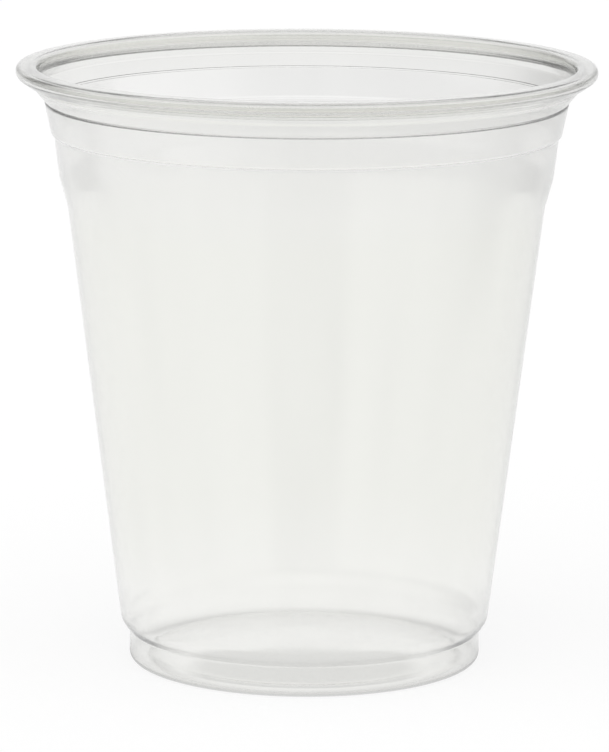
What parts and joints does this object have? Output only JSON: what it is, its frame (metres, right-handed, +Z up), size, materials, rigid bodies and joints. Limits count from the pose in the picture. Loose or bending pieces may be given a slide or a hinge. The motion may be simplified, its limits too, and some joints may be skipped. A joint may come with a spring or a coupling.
{
  "type": "disposable plastic cup",
  "caption": "Clear thin-walled disposable cold-drink cup: rolled rim that a lid presses over, stepped bands under it, tapered body, stacking shoulder and raised base inside a standing ring.",
  "frame": {"origin": "centre of the standing ring under the foot, on the table plane", "axes": "+Z up along the cup's axis, from the base to the mouth; the cup is a body of revolution, so X and Y are alike"},
  "size_m": [0.098, 0.098, 0.1024],
  "materials": {
    "clear_pet": "clear, glossy, faintly warm grey where it is seen edge on"
  },
  "bodies": {
    "root": {"cup": "clear_pet"}
  },
  "joints": []
}
